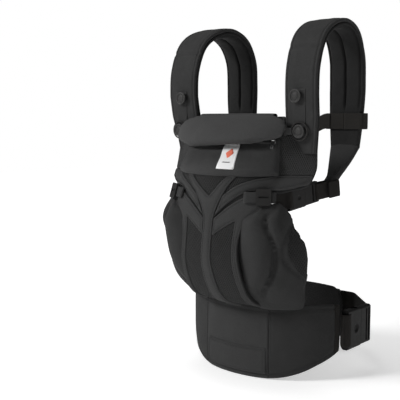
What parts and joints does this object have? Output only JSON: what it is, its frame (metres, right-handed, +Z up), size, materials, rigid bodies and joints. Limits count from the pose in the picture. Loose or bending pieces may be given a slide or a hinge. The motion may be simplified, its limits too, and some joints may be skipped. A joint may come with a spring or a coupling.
{
  "type": "soft baby carrier",
  "caption": "Worn fabric carrier that holds a baby against the body: padded waist belt, pouch-shaped seat panel, shoulder straps, side and chest buckles and a fold-down head support.",
  "frame": {"origin": "centre of the waist loop, level with the belt's lower edge in front", "axes": "+Z up, -Y to the front panel's outside, +Y towards the wearer's back, +X to the waist buckle"},
  "size_m": [0.3021, 0.3047, 0.5451],
  "materials": {
    "twill_fabric": "cotton twill, matt, fine diagonal weave",
    "soft_fabric": "brushed cotton, matt, slightly lighter",
    "mesh_fabric": "polyester air mesh, matt, fine perforation",
    "foam": "foam core, hidden",
    "webbing": "polyester webbing, ribbed, slight sheen",
    "buckle_plastic": "moulded acetal, fine texture",
    "button_plastic": "moulded button, satin",
    "elastic": "round elastic cord",
    "zipper_metal": "bright die-cast zipper metal",
    "zipper_tape": "woven zipper tape with coil",
    "label_fabric": "woven satin label with a plain motif"
  },
  "bodies": {
    "carrier": {"adjuster_tracks": "webbing", "belt_cover_front": "twill_fabric", "belt_cover_left": "twill_fabric", "belt_cover_right": "twill_fabric", "belt_foam": "foam", "belt_lining": "mesh_fabric", "belt_pocket": "twill_fabric", "button_strips": "webbing", "buttons": "button_plastic", "centre_stem": "twill_fabric", "hood_pocket": "twill_fabric", "leg_pad_cover_left": "twill_fabric", "leg_pad_cover_right": "twill_fabric", "leg_pad_foam_left": "foam", "leg_pad_foam_right": "foam", "panel_lining": "mesh_fabric", "panel_padding": "foam", "seat_mesh_left": "mesh_fabric", "seat_mesh_right": "mesh_fabric", "sewn_label": "label_fabric", "side_anchor_left": "webbing", "side_anchor_right": "webbing", "side_socket_left": "buckle_plastic", "side_socket_right": "buckle_plastic", "side_trims": "twill_fabric", "side_webbing_left": "webbing", "side_webbing_right": "webbing", "stowed_hood": "soft_fabric", "strap_cover_left": "twill_fabric", "strap_cover_right": "twill_fabric", "strap_foam_left": "foam", "strap_foam_right": "foam", "strap_lining_left": "mesh_fabric", "strap_lining_right": "mesh_fabric", "strap_tail_left": "twill_fabric", "strap_tail_right": "twill_fabric", "sweep_trims": "twill_fabric", "upper_mesh": "mesh_fabric", "upper_side_mesh": "mesh_fabric", "waist_socket": "buckle_plastic", "waist_webbing_long": "webbing", "waist_webbing_run": "webbing", "waist_webbing_short": "webbing", "zipper_tape": "zipper_tape"},
    "waist_plug": {"waist_plug": "buckle_plastic"},
    "lumbar": {"lumbar_pad": "mesh_fabric", "lumbar_loops": "webbing"},
    "side_plug_left": {"side_plug_left": "buckle_plastic"},
    "side_plug_right": {"side_plug_right": "buckle_plastic"},
    "seat_slider_left": {"seat_slider_left": "buckle_plastic"},
    "seat_slider_right": {"seat_slider_right": "buckle_plastic"},
    "chest_strap": {"chest_band_left": "webbing", "chest_band_right": "webbing", "chest_socket": "buckle_plastic"},
    "chest_plug": {"chest_plug": "buckle_plastic"},
    "head_support": {"head_support_cover": "soft_fabric", "head_support_foam": "foam", "head_support_loops": "elastic"},
    "zipper_slider": {"zipper_slider": "zipper_metal"},
    "zipper_pull": {"zipper_pull": "zipper_metal"}
  },
  "joints": [
    {"name": "waist_plug_slide", "type": "slide", "parent": "carrier", "child": "waist_plug", "axis": [0, 1, 0], "range_m": [0, 0.034], "deforming": ["waist_webbing_run"]},
    {"name": "lumbar_slide", "type": "slide", "parent": "carrier", "child": "lumbar", "axis": [1, 0, 0], "range_m": [-0.008, 0.012]},
    {"name": "side_plug_left_slide", "type": "slide", "parent": "carrier", "child": "side_plug_left", "axis": [-0.1241, 0.9826, 0.1381], "range_m": [0, 0.028], "deforming": ["side_webbing_left", "strap_tail_left"]},
    {"name": "side_plug_right_slide", "type": "slide", "parent": "carrier", "child": "side_plug_right", "axis": [0.1241, 0.9826, 0.1381], "range_m": [0, 0.028], "deforming": ["side_webbing_right", "strap_tail_right"]},
    {"name": "seat_width_left", "type": "slide", "parent": "carrier", "child": "seat_slider_left", "axis": [-0.8746, 0.4848, 0], "range_m": [-0.013, 0]},
    {"name": "seat_width_right", "type": "slide", "parent": "carrier", "child": "seat_slider_right", "axis": [0.8746, 0.4848, 0], "range_m": [-0.013, 0]},
    {"name": "chest_strap_height", "type": "slide", "parent": "carrier", "child": "chest_strap", "axis": [0, 0, 1], "range_m": [-0.024, 0.045]},
    {"name": "chest_plug_slide", "type": "slide", "parent": "chest_strap", "child": "chest_plug", "axis": [1, 0, 0], "range_m": [0, 0.02], "deforming": ["chest_band_right"]},
    {"name": "head_support_fold", "type": "hinge", "parent": "carrier", "child": "head_support", "pos_m": [0, -0.119, 0.403], "axis": [1, 0, 0], "range_deg": [-120, 0]},
    {"name": "zipper_run", "type": "hinge", "parent": "carrier", "child": "zipper_slider", "pos_m": [0, 0.0689, 0.363], "axis": [0, 0, 1], "range_deg": [-40, 0]},
    {"name": "zipper_pull_lift", "type": "hinge", "parent": "zipper_slider", "child": "zipper_pull", "pos_m": [0.08035, -0.13301, 0.36616], "axis": [0.9291, 0.3697, 0], "range_deg": [-15, 0]}
  ]
}
